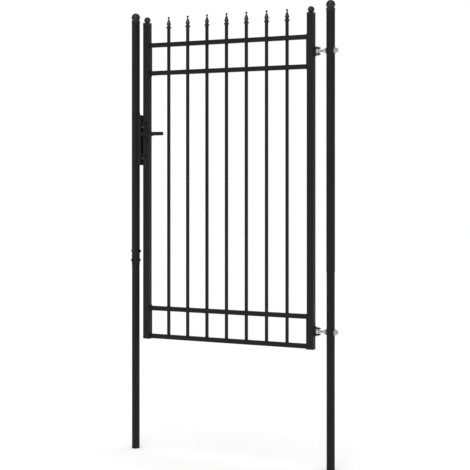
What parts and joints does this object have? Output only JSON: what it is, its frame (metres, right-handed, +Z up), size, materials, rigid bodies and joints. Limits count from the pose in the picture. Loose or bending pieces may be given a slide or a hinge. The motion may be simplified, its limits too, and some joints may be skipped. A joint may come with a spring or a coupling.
{
  "type": "garden gate",
  "caption": "Black steel garden gate: a picket leaf with spear finials, hung by eye-bolt hinges between two round posts, with a lever lock and strike keep.",
  "frame": {"origin": "bottom centre of the bounding box: midway along the gate, in the mid-plane of the leaf, at the foot of the posts", "axes": "+Z up, +X from the latch post to the hinge post, -Y towards the front, +Y the side that the leaf swings to"},
  "size_m": [1.045, 0.086, 2.04],
  "materials": {
    "powder_coated_steel": "black powder coat, fine satin texture",
    "cast_finials": "cast iron under black powder coat",
    "moulded_caps": "black moulded, semi-gloss",
    "lever_set": "black coated, satin",
    "black_bolts": "black zinc",
    "zinc_hardware": "bright zinc plated",
    "lock_steel": "black oiled steel",
    "cylinder_metal": "black nickel"
  },
  "bodies": {
    "posts": {"hinge_post_upper_tube": "powder_coated_steel", "hinge_post_lower_tube": "powder_coated_steel", "hinge_post_ball_cap": "moulded_caps", "latch_post_upper_tube": "powder_coated_steel", "latch_post_lower_tube": "powder_coated_steel", "latch_post_ball_cap": "moulded_caps", "post_joint_bolt_upper": "black_bolts", "post_joint_bolt_lower": "black_bolts", "strike_keep": "powder_coated_steel", "upper_eye_bolt": "zinc_hardware", "upper_eye_bolt_inner_nut": "zinc_hardware", "upper_eye_bolt_inner_washer": "zinc_hardware", "upper_eye_bolt_outer_washer": "zinc_hardware", "upper_eye_bolt_outer_nut": "zinc_hardware", "lower_eye_bolt": "zinc_hardware", "lower_eye_bolt_inner_nut": "zinc_hardware", "lower_eye_bolt_inner_washer": "zinc_hardware", "lower_eye_bolt_outer_washer": "zinc_hardware", "lower_eye_bolt_outer_nut": "zinc_hardware"},
    "leaf": {"latch_stile": "powder_coated_steel", "hinge_stile": "powder_coated_steel", "latch_stile_ball_cap": "moulded_caps", "hinge_stile_ball_cap": "moulded_caps", "top_rail_upper": "powder_coated_steel", "top_rail_lower": "powder_coated_steel", "bottom_rail_upper": "powder_coated_steel", "bottom_rail_lower": "powder_coated_steel", "top_latch_end_plate": "powder_coated_steel", "top_hinge_end_plate": "powder_coated_steel", "bottom_latch_end_plate": "powder_coated_steel", "bottom_hinge_end_plate": "powder_coated_steel", "picket_1": "powder_coated_steel", "spear_finial_1": "cast_finials", "picket_2": "powder_coated_steel", "spear_finial_2": "cast_finials", "picket_3": "powder_coated_steel", "spear_finial_3": "cast_finials", "picket_4": "powder_coated_steel", "spear_finial_4": "cast_finials", "picket_5": "powder_coated_steel", "spear_finial_5": "cast_finials", "picket_6": "powder_coated_steel", "spear_finial_6": "cast_finials", "picket_7": "powder_coated_steel", "spear_finial_7": "cast_finials", "upper_hinge_bracket": "powder_coated_steel", "upper_hinge_pin": "zinc_hardware", "lower_hinge_bracket": "powder_coated_steel", "lower_hinge_pin": "zinc_hardware", "lock_case": "lock_steel", "lock_cylinder": "cylinder_metal", "front_handle_plate": "lever_set", "rear_handle_plate": "lever_set"},
    "handle": {"spindle": "lock_steel", "front_lever": "lever_set", "rear_knob": "lever_set"},
    "latch": {"latch_bolt": "lock_steel"},
    "deadbolt": {"deadbolt": "lock_steel"},
    "key_plug": {"cylinder_plug": "cylinder_metal"}
  },
  "joints": [
    {"name": "gate_swing", "type": "hinge", "parent": "posts", "child": "leaf", "pos_m": [0.4255, 0, 0], "axis": [0, 0, -1], "range_deg": [0, 95]},
    {"name": "handle_turn", "type": "hinge", "parent": "leaf", "child": "handle", "pos_m": [-0.4345, 0, 1.472], "axis": [0, 1, 0], "range_deg": [0, 40], "stiffness_Nm_per_rad": 0.8, "springref_deg": -17.19},
    {"name": "latch_slide", "type": "slide", "parent": "leaf", "child": "latch", "axis": [1, 0, 0], "range_m": [0, 0.0123]},
    {"name": "key_turn", "type": "hinge", "parent": "leaf", "child": "key_plug", "pos_m": [-0.4345, 0, 1.3405], "axis": [0, 1, 0], "range_deg": [0, 360]},
    {"name": "deadbolt_slide", "type": "slide", "parent": "leaf", "child": "deadbolt", "axis": [1, 0, 0], "range_m": [0, 0.0205]}
  ],
  "couplings": [
    {"joint": "latch_slide", "follows": "handle_turn", "m_per_rad": 0.0175},
    {"joint": "key_turn", "follows": "deadbolt_slide", "rad_per_m": 306}
  ]
}
